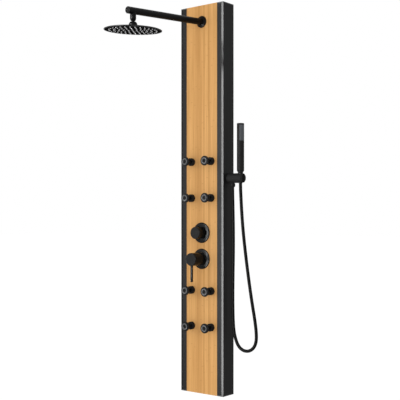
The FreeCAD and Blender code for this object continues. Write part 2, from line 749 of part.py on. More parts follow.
def shower_arm():
    """The tube with its closed tip, its threaded inlet and the spout under its outer end."""
    slope = math.radians(size("arm_slope"))
    tube_turn = FreeCAD.Rotation(PLUS_X, 90 + size("arm_slope"))
    run = f"arm_reach / {math.cos(slope):.6f}"
    spout_fall = f"spout_reach * {math.tan(slope):.6f}"

    def on_arm(piece, start):
        """Lays a piece on the arm's sloping axis, start millimetres from the front face."""
        distance = size(start)
        base = FreeCAD.Vector(
            0,
            size(front) - distance * math.cos(slope),
            size("arm_height") - distance * math.sin(slope),
        )
        return place_freely(piece, FreeCAD.Placement(base, tube_turn))

    pipe = on_arm(rod("arm_tube", 0, 0, 0, "+Z", "arm_radius",
                      f"{run} - tube_start - arm_tip_chamfer"), "tube_start")
    tip = on_arm(cone("arm_tip", 0, 0, 0, "+Z", "arm_radius", "arm_radius - arm_tip_chamfer",
                      "arm_tip_chamfer"), f"{run} - arm_tip_chamfer")
    inlet = rod("arm_inlet", 0, f"{front} + nipple_depth", "arm_height", "-Y",
                "nipple_radius", "nipple_depth + arm_radius / 2")
    spout_top = f"arm_height - {spout_fall}"
    spout = rod("arm_spout", 0, head_y, "spout_bottom + spout_taper", "+Z", "spout_radius",
                f"{spout_top} - spout_bottom - spout_taper")
    spout_end = cone("arm_spout_end", 0, head_y, "spout_bottom", "+Z", "spout_end_radius",
                     "spout_radius", "spout_taper")
    bore = on_arm(rod("arm_tube_bore", 0, 0, 0, "+Z", "arm_bore",
                      f"{run} - arm_end_wall + arm_bore"), "-arm_bore")
    inlet_bore = rod("arm_inlet_bore", 0, f"{front} + 2 * nipple_depth", "arm_height", "-Y",
                     "inlet_bore", "2 * nipple_depth")
    spout_bore = rod("arm_spout_bore", 0, head_y, "spout_bottom - stud_thread_length", "+Z",
                     "stud_thread_radius + free_fit", f"{spout_top} - spout_bottom + stud_thread_length")
    solid = fused("arm_solid", pipe, tip, inlet, spout, spout_end)
    return cut("shower_arm", solid, bore, inlet_bore, spout_bore)


def arm_escutcheon():
    profile = [
        ("arm_rose_hole", "0"),
        ("arm_rose_radius", "0"),
        ("arm_rose_radius", "arm_rose_height / 4"),
        ("arm_rose_radius - arm_rose_height / 4", "arm_rose_height / 2"),
        ("arm_rose_radius - arm_rose_height", "arm_rose_height"),
        ("arm_rose_hole", "arm_rose_height"),
    ]
    return turned("arm_escutcheon", profile, 0, front, "arm_height", "-Y")


def ball_stud():
    """The ball that the rain head hangs from, screwed up into the spout."""
    sphere = ball("ball_stud_ball", 0, head_y, "head_ball_height", "head_ball_radius")
    neck = rod("ball_stud_neck", 0, head_y, "head_ball_height", "+Z", "head_neck_radius",
               "spout_bottom - head_ball_height + free_fit")
    thread = rod("ball_stud_thread", 0, head_y, "spout_bottom", "+Z", "stud_thread_radius",
                 "stud_thread_length")
    waterway = rod("ball_stud_bore", 0, head_y, "head_ball_height - 2 * head_ball_radius", "+Z",
                   "head_neck_radius / 2", "4 * head_ball_radius")
    return cut("ball_stud", fused("ball_stud_solid", sphere, neck, thread), waterway)


def shell_slice(name, x, y, z, inner, outer, slab):
    """The part of a hollow sphere that lies in a slab."""
    hollow = cut(f"{name}_hollow", ball(f"{name}_outer", x, y, z, outer),
                 ball(f"{name}_inner", x, y, z, inner))
    return common(name, hollow, slab)


def head_ring(name, bottom, height):
    """A ring round the rain head's ball, from bottom above its centre."""
    slab = rod(f"{name}_slab", 0, head_y, f"head_ball_height + {bottom}", "+Z",
               "seat_radius", height)
    return shell_slice(name, 0, head_y, "head_ball_height", "head_ball_radius + free_fit",
                       "seat_radius", slab)


def lean(item, height="0"):
    """Leans a piece that was made upright round the ball's centre, and hangs it there.
    Height is where the piece's own origin lies above that centre."""
    centre = FreeCAD.Vector(0, size(head_y), size("head_ball_height"))
    to_side = FreeCAD.Rotation(PLUS_Y, size("head_tilt_side"))
    to_front = FreeCAD.Rotation(PLUS_X, size("head_tilt_front"))
    hung = FreeCAD.Placement(centre, to_side.multiply(to_front))
    raised = FreeCAD.Placement(FreeCAD.Vector(0, 0, size(height)), FreeCAD.Rotation())
    return place_freely(item, hung.multiply(raised))


def swivel_nut():
    """The nut that holds the ball and its rings in the rain head's boss."""
    bottom = "-head_drop / 2"
    profile = [
        ("head_neck_radius", bottom),
        ("nut_radius", bottom),
        ("nut_radius", "nut_straight_top"),
        ("nut_shoulder_radius", "nut_shoulder"),
        ("nut_top_radius", "nut_top"),
        ("head_neck_radius", "nut_top"),
    ]
    body = turned("swivel_nut_outside", profile, 0, 0, 0, "+Z")
    socket = ball("swivel_nut_socket", 0, 0, 0, "socket_radius")
    mouth = rod("swivel_nut_mouth", 0, 0, 0, "+Z", "nut_mouth_radius", "head_drop")
    thread = rod("swivel_nut_thread", 0, 0, bottom, "+Z", "head_boss_radius + free_fit",
                 f"-head_boss_top - ({bottom})")
    return lean(cut("swivel_nut", body, socket, mouth, thread))


def rain_head_shell():
    """The head's thin dished top with its threaded boss and its hollow for the water."""
    spray = "-head_drop"
    rim = f"{spray} + head_rim"
    ceiling = f"{spray} + plate_thickness + mat_thickness + nozzle_play * 3"
    water_top = f"{ceiling} + water_depth"
    inner = "head_radius - head_wall"
    seat_floor = "-head_boss_top - boss_bore_depth"
    profile = [
        (inner, spray),
        ("head_radius", spray),
        ("head_radius", rim),
        ("head_radius - head_edge_width", f"{rim} + head_edge_rise"),
        ("dish_foot_radius", f"{rim} + head_dish_rise"),
        ("boss_root_radius", "-boss_root"),
        ("head_boss_radius", "-boss_side_bottom"),
        ("head_boss_radius", "-head_boss_top"),
        ("boss_bore_radius", "-head_boss_top"),
        ("boss_bore_radius", seat_floor),
        ("head_neck_radius", seat_floor),
        ("head_neck_radius", water_top),
        ("water_radius", water_top),
        (inner, ceiling),
    ]
    return lean(turned("rain_head_shell", profile, 0, 0, 0, "+Z"))


def nozzle_places():
    """One nozzle in the middle and rings of six more each time round it."""
    places = [("0", "0")]
    for ring in range(1, NOZZLE_RINGS + 1):
        count = ring * NOZZLES_PER_RING_STEP
        for k in range(count):
            angle = NOZZLE_START + 2 * math.pi * (k + 0.5 * (ring % 2)) / count
            x = f"nozzle_pitch * {ring * math.cos(angle):.5f}"
            y = f"nozzle_pitch * {ring * math.sin(angle):.5f}"
            places.append((x, y))
    return places


def rain_head_spray_plate():
    """The metal disc under the head, with a hole for each nozzle."""
    name = "rain_head_spray_plate"
    body = document.addObject("PartDesign::Body", name)
    outline = new_sketch(body, f"{name}_outline", "XY_Plane")
    circles = [("0", "0", "head_radius - head_wall - free_fit")]
    circles += [(x, y, "nozzle_radius + nozzle_play") for x, y in nozzle_places()]
    draw_circles(outline, circles)
    pad = body.newObject("PartDesign::Pad", f"{name}_pad")
    pad.Profile = outline
    bind(pad, Length="plate_thickness")
    return lean(body, "-head_drop")


def rain_head_nozzle_mat():
    """One soft disc above the plate, whose nozzles stand out through the plate's holes."""
    name = "rain_head_nozzle_mat"
    body = document.addObject("PartDesign::Body", name)
    disc = new_sketch(body, f"{name}_disc", "XY_Plane")
    draw_circles(disc, [("0", "0", "head_radius - head_wall - mat_thickness")])
    pad = body.newObject("PartDesign::Pad", f"{name}_pad")
    pad.Profile = disc
    bind(pad, Length="mat_thickness")
    nozzles = new_sketch(body, f"{name}_nozzles", "XY_Plane")
    draw_circles(nozzles, [(x, y, "nozzle_radius") for x, y in nozzle_places()])
    tips = body.newObject("PartDesign::Pad", f"{name}_tips")
    tips.Profile = nozzles
    tips.Reversed = True
    bind(tips, Length="plate_thickness + nozzle_rise")
    return lean(body, "plate_thickness - head_drop")


# ---- body jets


def jet_places():
    """The eight jets as (x, z), from the top row down, left before right."""
    return [(f"{hand} * jet_spacing / 2", row) for row in JET_ROWS for hand in (-1, 1)]


def jet_base(number, x, z):
    """A collar on the board's face with a spherical socket, on a threaded shank."""
    name = f"jet_base_{number}"
    collar = rod(f"{name}_collar", x, front, z, "-Y", "jet_collar_radius", "jet_collar_length")
    shank = rod(f"{name}_shank", x, "-jet_shank_back", z, "-Y", "jet_shank_radius",
                "column_depth - jet_shank_back + jet_pivot")
    socket = ball(f"{name}_socket", x, f"{front} - jet_pivot", z, "jet_socket_radius")
    bore = rod(f"{name}_bore", x, 0, z, "-Y", "jet_bore_radius", "column_depth")
    return cut(name, fused(f"{name}_solid", collar, shank), socket, bore)


def jet_lock_nut(number, x, z):
    name = f"jet_lock_nut_{number}"
    board_back = f"{front} + board_thickness"
    nut = hexagon(f"{name}_nut", x, board_back, z, "+Y", "jet_nut_radius", "jet_nut_height")
    hole = rod(f"{name}_hole", x, f"{board_back} - jet_nut_height", z, "+Y",
               "jet_shank_radius + free_fit", "3 * jet_nut_height")
    return cut(name, nut, hole)


def jet_swivel_ring(number, x, z):
    """The ring between a jet's ball and its base."""
    name = f"jet_{number}_swivel_ring"
    slab = rod(f"{name}_slab", x, f"{front} - jet_pivot + jet_ring_width / 2", z, "-Y",
               "jet_ring_outer", "jet_ring_width")
    return shell_slice(name, x, f"{front} - jet_pivot", z, "jet_ring_inner", "jet_ring_outer", slab)


def jet_head(number, x, z):
    """Ball, neck and round face with its raised nozzle ring."""
    name = f"jet_{number}_head"
    face = "jet_reach - jet_lip"
    profile = [
        ("0", "jet_pivot"),
        ("jet_neck_radius", "jet_pivot"),
        ("jet_neck_radius", "jet_pivot + jet_neck_length"),
        ("jet_waist_radius", "jet_pivot + jet_waist"),
        ("jet_head_radius - jet_lip", f"{face} - jet_rim_back"),
        ("jet_head_radius", f"{face} - jet_rim"),
        ("jet_head_radius", f"{face} - jet_lip / 2"),
        ("jet_head_radius - jet_lip / 2", face),
        ("jet_nozzle_outer", face),
        ("jet_nozzle_outer", "jet_reach"),
        ("jet_nozzle_inner", "jet_reach"),
        ("jet_nozzle_inner", f"{face} - jet_lip"),
        ("0", f"{face} - jet_lip"),
    ]
    body = turned(f"{name}_body", profile, x, front, z, "-Y")
    sphere = ball(f"{name}_ball", x, f"{front} - jet_pivot", z, "jet_ball_radius")
    return fused(name, body, sphere)


# ---- valve and pipes inside the column


def valve_body():
    """The brass block behind the mixer and the diverter, with its two arms for the pipes."""
    depth = "valve_front - valve_back"
    upper = box("valve_upper", "-valve_half_width", "-valve_front", "valve_top - valve_arm_height",
                "2 * valve_half_width", depth, "valve_arm_height")
    lower = box("valve_lower", "-valve_half_width", "-valve_front", "valve_bottom",
                "2 * valve_half_width", depth, "valve_foot_height")
    web = box("valve_middle", "-valve_web", "-valve_front", "valve_bottom",
              "2 * valve_web", depth, "valve_top - valve_bottom")
    return fused("valve_body", upper, lower, web)


def inlet_nipples():
    """Hot and cold inlets, facing the wall."""
    nipples = []
    for hand in (-1, 1):
        name = f"inlet_nipple_{len(nipples) + 1}"
        x = f"{hand} * inlet_spacing / 2"
        outside = rod(f"{name}_outside", x, "-valve_back", "inlet_height", "+Y",
                      "inlet_radius", "valve_back - inlet_end")
        bore = rod(f"{name}_bore", x, "-valve_back", "inlet_height", "+Y", "inlet_bore", "valve_back")
        nipples.append(cut(name, outside, bore))
    return group("inlet_nipples", nipples)


def tube(name, x, y, z, turn, radius, bore, length):
    outside = rod(f"{name}_outside", x, y, z, turn, radius, length)
    inside = rod(f"{name}_inside", x, y, z, turn, bore, length)
    return cut(name, outside, inside)


def arm_inlet_elbow():
    """Takes the arm's thread behind the board and turns the water down to the riser."""
    board_back = f"{front} + board_thickness"
    flange = rod("elbow_flange", 0, board_back, "arm_height", "+Y", "elbow_flange_radius",
                 "elbow_flange_width")
    barrel = rod("elbow_barrel", 0, board_back, "arm_height", "+Y", "elbow_radius",
                 "column_depth - board_thickness - elbow_back")
    leg = rod("elbow_leg", 0, "-riser_depth", "elbow_bottom", "+Z", "arm_rose_radius / 2",
              "arm_height - elbow_bottom")
    socket = rod("elbow_socket", 0, front, "arm_height", "+Y", "nipple_radius + 2 * free_fit",
                 "nipple_depth + 1")
    way_down = rod("elbow_bore", 0, "-riser_depth", "elbow_bottom", "+Z", "riser_bore",
                   "arm_height - elbow_bottom")
    return cut("arm_inlet_elbow", fused("elbow_solid", flange, barrel, leg), socket, way_down)


def jet_feed_pipe(name, hand, z, length, rows):
    """An upright pipe with a short branch to each jet on its side."""
    x = f"{hand} * jet_spacing / 2"
    pieces = [rod(f"{name}_pipe", x, "-pipe_depth", z, "+Z", "pipe_radius", length)]
    for row in rows:
        branch = rod(f"{name}_{row}", x, "-pipe_depth", row, "-Y", "branch_radius",
                     "jet_shank_back - pipe_depth")
        pieces.append(branch)
    bore = rod(f"{name}_bore", x, "-pipe_depth", f"{z} + pipe_radius / 4", "+Z", "pipe_bore",
               f"{length} - pipe_radius / 2")
    return cut(name, fused(f"{name}_solid", *pieces), bore)


def jet_feed_pipes():
    pipes = []
    for label, hand in (("left", -1), ("right", 1)):
        upper = jet_feed_pipe(f"upper_{label}_jet_pipe", hand, "valve_top",
                              "jet_row_1 + pipe_end - valve_top", JET_ROWS[:2])
        lower = jet_feed_pipe(f"lower_{label}_jet_pipe", hand, "jet_row_4 - pipe_end",
                              "valve_bottom - jet_row_4 + pipe_end", JET_ROWS[2:])
        pipes += [upper, lower]
    return group("jet_feed_pipes", pipes)


def handset_feed_pipe():
    """From the valve block up and across to the holder's thread in the side wall."""
    height = size("holder_height")
    upright = -size("feed_depth")
    level = -size("holder_depth")
    points = [
        FreeCAD.Vector(size("valve_web"), upright, size("valve_top")),
        FreeCAD.Vector(size("valve_web"), upright, height),
        FreeCAD.Vector(size("feed_turn"), upright, height),
        FreeCAD.Vector(size("feed_level"), level, height),
        FreeCAD.Vector(size(f"{side} - holder_shank - side_wall"), level, height),
    ]
    return bent_tube("handset_feed_pipe", points, "feed_radius", "feed_bore")


# ---- mixer and diverter


def cover_ring(name, hole, z):
    """A cover ring with a round shoulder, a face that rises inward and a step down inside."""
    profile = [
        (hole, "0"),
        ("rose_radius", "0"),
        ("rose_radius", "rose_edge"),
        ("rose_radius - rose_corner", "rose_corner_height"),
        ("rose_radius - rose_shoulder", "rose_shoulder_height"),
        ("rose_radius - rose_slope_start", "rose_slope_foot"),
        ("rose_radius - rose_slope_end", "rose_height"),
        ("rose_radius - rose_slope_end - rose_lip", "rose_dish"),
        (hole, "rose_dish"),
    ]
    return turned(name, profile, 0, front, z, "-Y")


def valve_sleeve(name, back_radius, front_radius, top, bore, z):
    """A fixed round body from the valve block through the board, with a blind bore."""
    back = "valve_front - column_depth"
    profile = [
        ("0", back),
        (back_radius, back),
        (back_radius, "0"),
        (front_radius, "0"),
        (front_radius, f"{top} - sleeve_chamfer"),
        (f"{front_radius} - sleeve_chamfer", top),
        (bore, top),
        (bore, f"{back} + sleeve_floor"),
        ("0", f"{back} + sleeve_floor"),
    ]
    return turned(name, profile, 0, front, z, "-Y")


def mixer_turret():
    """Turns with the temperature: a slotted dome that carries the tilt pin, on a shank."""
    z = "mixer_height"
    centre_y = f"{front} - mixer_pivot"
    slab = rod("turret_slab", 0, f"{front} - sleeve_top - turret_play", z, "-Y", "dome_radius",
               "dome_top - sleeve_top - turret_play")
    dome = common("turret_dome", ball("turret_ball", 0, centre_y, z, "dome_radius"), slab)
    shank = rod("turret_shank", 0, "-valve_front - sleeve_floor - free_fit * 2", z, "-Y", "shank_radius",
                "column_depth - valve_front + sleeve_top - 2")
    slot_width = "tongue_width + 2 * tongue_play"
    slot = box("turret_slot", f"-({slot_width}) / 2", f"{front} - dome_top - slot_end",
               f"{z} - tongue_radius - slot_below", slot_width,
               "dome_top - mixer_pivot + tongue_radius + 2 * slot_end",
               "2 * tongue_radius + slot_below + slot_above")
    pin_hole = rod("turret_pin_hole", "-dome_radius", centre_y, z, "+X",
                   "pivot_radius + free_fit", "2 * dome_radius")
    return cut("mixer_turret", fused("turret_solid", dome, shank), slot, pin_hole)


def mixer_handle():
    """A hollow round cap with a tongue that reaches down to the tilt pin."""
    z = "mixer_height"
    inside = "(handle_front - handle_wall)"
    profile = [
        ("0", inside),
        ("handle_bore", inside),
        ("handle_bore", "handle_back"),
        ("handle_radius - handle_edge", "handle_back"),
        ("handle_radius", "handle_back + handle_edge"),
        ("handle_radius", "handle_front - handle_chamfer"),
        ("handle_radius - handle_chamfer", "handle_front"),
        ("0", "handle_front"),
    ]
    cap = turned("handle_cap", profile, 0, front, z, "-Y")
    tongue = box("handle_tongue", "-tongue_width / 2", f"{front} - {inside} - handle_root",
                 f"{z} - tongue_radius", "tongue_width", f"{inside} + handle_root - mixer_pivot",
                 "2 * tongue_radius")
    eye = rod("handle_eye", "-tongue_width / 2", f"{front} - mixer_pivot", z, "+X",
              "tongue_radius", "tongue_width")
    pin_hole = rod("handle_pin_hole", "-dome_radius", f"{front} - mixer_pivot", z, "+X",
                   "pivot_radius", "2 * dome_radius")
    lever_hole = rod("handle_lever_hole", 0, f"{front} - lever_place", f"{z} - lever_start", "-Z",
                     "lever_radius + free_fit", "handle_radius")
    return cut("mixer_handle", fused("handle_solid", cap, tongue, eye), pin_hole, lever_hole)


def mixer_pivot_pin():
    return rod("mixer_pivot_pin", "-pivot_length / 2", f"{front} - mixer_pivot", "mixer_height", "+X",
               "pivot_radius - free_fit / 2", "pivot_length")


def mixer_lever():
    """The pin lever under the handle, with a rounded tip."""
    length = "lever_bottom - lever_start"
    profile = [
        ("0", "0"),
        ("lever_radius", "0"),
        ("lever_radius", f"{length} - lever_tip"),
        ("lever_tip_shoulder", f"{length} - lever_tip_middle"),
        ("lever_tip_flat", length),
        ("0", length),
    ]
    return turned("mixer_lever", profile, 0, f"{front} - lever_place",
                  "mixer_height - lever_start", "-Z")


def diverter_spindle():
    back = "valve_front - column_depth + sleeve_floor + 2 * free_fit"
    profile = [
        ("0", back),
        ("spindle_radius", back),
        ("spindle_radius", "spindle_front"),
        ("0", "spindle_front"),
    ]
    return turned("diverter_spindle", profile, 0, front, "diverter_height", "-Y")


def diverter_knob():
    bore = "spindle_radius + free_fit"
    bore_end = "spindle_front + spindle_play"
    profile = [
        ("0", bore_end),
        (bore, bore_end),
        (bore, "knob_back"),
        ("knob_radius - knob_chamfer", "knob_back"),
        ("knob_radius", "knob_back + knob_chamfer"),
        ("knob_radius", "knob_front - knob_chamfer"),
        ("knob_radius - knob_chamfer", "knob_front"),
        ("0", "knob_front"),
    ]
    return turned("diverter_knob", profile, 0, front, "diverter_height", "-Y")


# ---- hand shower, its holder and its hose


def outlet_holder_body():
    """One round body at the column's side: the hose outlet under it, and at its outer end
    the tapered hole for the hand shower, slotted to let the hose out."""
    y = "-holder_depth"
    z = "holder_height"
    bottom = "holder_height - holder_radius - 1"
    barrel = rod("holder_barrel", side, y, z, "+X", "holder_radius", "holder_length - holder_chamfer")
    rim = cone("holder_rim", f"{side} + holder_length - holder_chamfer", y, z, "+X",
               "holder_radius", "holder_radius - holder_chamfer", "holder_chamfer")
    shank = rod("holder_shank_rod", f"{side} - side_wall - holder_shank", y, z, "+X",
                "holder_shank_radius", "holder_shank + 2 * side_wall")
    outlet = rod("holder_outlet", outlet_x, y, "outlet_bottom", "+Z", "outlet_radius",
                 "holder_height - outlet_bottom")
    taper = "(cone_top_radius - cone_bottom_radius) / (cone_top - hose_end)"
    hole = cone("holder_hole", handset_x, y, bottom, "+Z",
                f"cone_bottom_radius + holder_hole_play + ({bottom} - hose_end) * {taper}",
                f"cone_top_radius + holder_hole_play + cradle_above * {taper}",
                f"cone_top + cradle_above - ({bottom})")
    slot = box("holder_slot", handset_x, f"{y} - cradle_slot / 2", bottom, "holder_length",
               "cradle_slot", "2 * holder_radius + 2")
    way_in = rod("holder_bore", f"{side} - side_wall - holder_shank", y, z, "+X", "outlet_radius / 2",
                 "holder_shank + side_wall + outlet_place")
    way_down = rod("holder_outlet_bore", outlet_x, y, "outlet_bottom", "+Z", "outlet_radius / 2",
                   "holder_height - outlet_bottom")
    solid = fused("holder_solid", barrel, rim, shank, outlet)
    return cut("outlet_holder_body", solid, hole, slot, way_in, way_down)


def outlet_lock_nut():
    inner_face = f"{side} - side_wall"
    nut = hexagon("outlet_nut_hexagon", f"{inner_face} - holder_nut_height", "-holder_depth",
                  "holder_height", "+X", "holder_nut_radius", "holder_nut_height")
    hole = rod("outlet_nut_hole", f"{inner_face} - 2 * holder_nut_height", "-holder_depth",
               "holder_height", "+X", "holder_shank_radius + free_fit", "3 * holder_nut_height")
    return cut("outlet_lock_nut", nut, hole)


def hose_outlet_nut():
    """Joins the hose to the outlet's thread."""
    floor = "outlet_bottom - hose_start"
    height = "outlet_nut_top - hose_start"
    profile = [
        ("0", "0"),
        ("outlet_nut_radius - outlet_nut_foot", "0"),
        ("outlet_nut_radius", "outlet_nut_foot"),
        ("outlet_nut_radius", f"{height} - outlet_nut_edge"),
        ("outlet_nut_radius - outlet_nut_edge", height),
        ("outlet_radius + free_fit", height),
        ("outlet_radius + free_fit", floor),
        ("0", floor),
    ]
    return turned("hose_outlet_nut", profile, outlet_x, "-holder_depth", "hose_start", "+Z")


def hose_cone_nut():
    """The tapered nut that joins the hose to the hand shower and seats in the holder."""
    height = "cone_top - hose_end"
    profile = [
        ("0", "0"),
        ("cone_bottom_radius", "0"),
        ("cone_top_radius", height),
        ("cone_spigot_radius", height),
        ("cone_spigot_radius", f"{height} + cone_spigot"),
        ("0", f"{height} + cone_spigot"),
    ]
    return turned("hose_cone_nut", profile, handset_x, "-holder_depth", "hose_end", "+Z")


def handset_body():
    """The round stick with its tapered foot and the flat seat of its spray face."""
    length = "stick_top - cone_top"
    profile = [
        ("stick_bore", "0"),
        ("cone_top_radius + free_fit * 2", "0"),
        ("stick_foot_radius", "stick_foot"),
        ("stick_radius", "stick_cone"),
        ("stick_radius", length),
        ("stick_bore", length),
    ]
    stick = turned("handset_stick", profile, handset_x, "-holder_depth", "cone_top", "+Z")
    return cut("handset_body", stick, spray_space("handset_seat", "spray_bottom", "spray_top"))


def spray_space(name, bottom, top):
    """The block of space in front of the spray face's flat seat."""
    item = document.addObject("Part::Box", name)
    bind(item, Length="stick_radius", Width="2 * stick_radius", Height=f"{top} - ({bottom})")
    axis = FreeCAD.Vector(size(handset_x), size("-holder_depth"), 0)
    turn = FreeCAD.Rotation(PLUS_Z, size("spray_angle"))
    corner = FreeCAD.Vector(size("spray_offset"), -size("stick_radius"), size(bottom))
    item.Placement = FreeCAD.Placement(axis + turn.multVec(corner), turn)
    return item


def handset_spray_face():
    """The face of the hand shower, curved like the stick, with a hair's gap round it."""
    blank = rod("spray_blank", handset_x, "-holder_depth", "spray_bottom + spray_gap",
                "+Z", "spray_radius", "spray_top - spray_bottom - 2 * spray_gap")
    space = spray_space("spray_cutter", "spray_bottom", "spray_top")
    return common("handset_spray_face", blank, space)


def handset_end_cap():
    profile = [
        ("0", "0"),
        ("stick_radius", "0"),
        ("stick_radius", "stick_cap - cap_edge"),
        ("stick_radius - cap_edge_middle", "stick_cap - cap_edge_middle"),
        ("stick_radius - cap_edge", "stick_cap"),
        ("0", "stick_cap"),
    ]
    return turned("handset_end_cap", profile, handset_x, "-holder_depth", "stick_top", "+Z")


def shower_hose():
    depth = -size("holder_depth")
    points = [FreeCAD.Vector(size(side) + out, depth, height) for out, height in HOSE_ROUTE]
    return bent_tube("shower_hose", points, "hose_radius")


# ---- the whole column


def build():
    cap_base = "column_height / 2 - cap_thickness"
    nodes = [
        board(),
        side_profile("left_side_profile", -1),
        side_profile("right_side_profile", 1),
        end_cap("top_cap", cap_base, f"{cap_base} - lug_length"),
        end_cap("bottom_cap", "-column_height / 2", f"-({cap_base})"),
        group("wall_brackets", [wall_bracket(label, top) for label, top in bracket_tops()]),
        group("hanger_bars", [hanger_bar(label, top) for label, top in bracket_tops()]),
        hanger_screws(),
        shower_arm(),
        arm_escutcheon(),
        arm_inlet_elbow(),
        ball_stud(),
        head_ring("ball_seal_ring", "-seal_bottom", "seal_bottom - seal_top"),
        head_ring("ball_seat_ring", "-seat_bottom", "seat_bottom + seat_top"),
        swivel_nut(),
        rain_head_shell(),
        rain_head_spray_plate(),
        rain_head_nozzle_mat(),
        valve_body(),
        inlet_nipples(),
        tube("arm_riser_pipe", 0, "-riser_depth", "valve_top", "+Z", "riser_radius", "riser_bore",
             "elbow_bottom - valve_top"),
        jet_feed_pipes(),
        handset_feed_pipe(),
        cover_ring("mixer_escutcheon", "mixer_rose_hole", "mixer_height"),
        valve_sleeve("mixer_sleeve", "sleeve_back_radius", "sleeve_radius", "sleeve_top",
                     "shank_radius + free_fit", "mixer_height"),
        mixer_turret(),
        mixer_handle(),
        mixer_pivot_pin(),
        mixer_lever(),
        cover_ring("diverter_escutcheon", "diverter_rose_hole", "diverter_height"),
        valve_sleeve("diverter_bonnet", "bonnet_back_radius", "bonnet_radius", "bonnet_top",
                     "spindle_radius + free_fit", "diverter_height"),
        diverter_spindle(),
        diverter_knob(),
        outlet_holder_body(),
        outlet_lock_nut(),
        hose_outlet_nut(),
        shower_hose(),
        hose_cone_nut(),
        handset_body(),
        handset_spray_face(),
        handset_end_cap(),
    ]
    jets = list(enumerate(jet_places(), start=1))
    nodes.append(group("jet_bases", [jet_base(n, x, z) for n, (x, z) in jets]))
    nodes.append(group("jet_lock_nuts", [jet_lock_nut(n, x, z) for n, (x, z) in jets]))
    for number, (x, z) in jets:
        nodes.append(jet_swivel_ring(number, x, z))
        nodes.append(jet_head(number, x, z))
    return nodes


def check(nodes):
    """Stops if any object of the document failed, or any node is empty or not valid."""
    for item in document.Objects:
        if "Invalid" in item.State or "Error" in item.State:
            raise RuntimeError(f"{item.Name} did not compute: {item.State}")
    for node in nodes:
        if node.Shape.isNull() or not node.Shape.isValid() or not node.Shape.Solids:
            raise RuntimeError(f"{node.Name} has no valid solid")


def export(nodes):
    os.makedirs("parts", exist_ok=True)
    for node in nodes:
        node.Label = node.Name
        node.Shape.exportStep(f"parts/{node.Name}.step")
        solids = len(node.Shape.Solids)
        print(f"{node.Name}: {solids} solid(s), {node.Shape.Volume / 1000:.2f} cm3")


all_nodes = build()
document.recompute()
check(all_nodes)
export(all_nodes)
print(f"{len(all_nodes)} nodes")
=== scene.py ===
import json
import math

import bmesh
import bpy
from mathutils import Matrix, Vector

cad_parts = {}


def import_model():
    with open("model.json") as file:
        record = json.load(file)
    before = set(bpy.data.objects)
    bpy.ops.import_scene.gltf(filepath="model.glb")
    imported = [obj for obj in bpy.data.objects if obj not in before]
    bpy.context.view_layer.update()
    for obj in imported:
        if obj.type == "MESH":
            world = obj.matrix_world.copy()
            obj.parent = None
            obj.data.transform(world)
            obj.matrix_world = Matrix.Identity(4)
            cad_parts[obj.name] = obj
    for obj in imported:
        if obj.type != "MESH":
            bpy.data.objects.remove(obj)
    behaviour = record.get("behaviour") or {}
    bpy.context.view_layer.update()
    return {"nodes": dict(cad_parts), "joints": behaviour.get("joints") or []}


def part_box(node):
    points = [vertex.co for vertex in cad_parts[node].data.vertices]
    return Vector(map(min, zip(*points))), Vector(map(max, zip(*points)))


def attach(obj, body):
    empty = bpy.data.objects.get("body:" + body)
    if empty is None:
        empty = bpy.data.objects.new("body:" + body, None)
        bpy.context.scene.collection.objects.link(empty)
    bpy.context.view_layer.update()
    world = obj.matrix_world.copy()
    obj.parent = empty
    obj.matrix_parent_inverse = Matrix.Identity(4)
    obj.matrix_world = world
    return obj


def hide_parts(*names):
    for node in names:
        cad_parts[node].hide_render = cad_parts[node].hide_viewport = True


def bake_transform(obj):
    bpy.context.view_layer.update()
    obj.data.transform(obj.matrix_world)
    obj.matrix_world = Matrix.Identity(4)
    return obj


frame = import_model()
nodes = frame["nodes"]
joints = {joint["name"]: joint for joint in frame["joints"]}


# ---- places, in metres


def rounded(corner):
    """A corner or a middle from the frame, to a tenth of a millimetre."""
    return [round(value, 4) for value in corner]


def middle(node):
    """The middle of a CAD node's box."""
    low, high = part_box(node)
    return rounded((low + high) / 2)


FRONT = rounded(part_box("bamboo_front_board")[0])[1]
SIDE = rounded(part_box("right_side_profile")[1])[0]
HANDSET_X, HOLDER_DEPTH, _ = middle("handset_body")
FLOOR_LEVEL = -0.95
JET_NUMBERS = range(1, 9)

# The bevel of the frame's front corners, as in part.py.
BEVEL_WIDTH = 0.0075
BEVEL_DEPTH = 0.0015

# The hose's route as (x, z) in its upright plane, from the outlet nut to the cone nut.
HOSE_ROUTE = [
    (0.1192, 0.045),
    (0.1195, 0.02),
    (0.1208, -0.026),
    (0.1225, -0.096),
    (0.123, -0.186),
    (0.121, -0.28),
    (0.1202, -0.36),
    (0.121, -0.428),
    (0.124, -0.478),
    (0.1315, -0.51),
    (0.145, -0.5385),
    (0.167, -0.553),
    (0.1925, -0.553),
    (0.2142, -0.539),
    (0.2252, -0.5145),
    (0.225, -0.4805),
    (0.2185, -0.437),
    (0.2065, -0.378),
    (0.1927, -0.3),
    (0.1786, -0.208),
    (0.1673, -0.124),
    (0.1602, -0.046),
    (0.1564, 0.016),
    (0.155, 0.044),
    (0.155, 0.058),
]
HOSE_RADIUS = 0.006


# ---- writing nodes


def grey(value):
    return (value, value, value, 1.0)


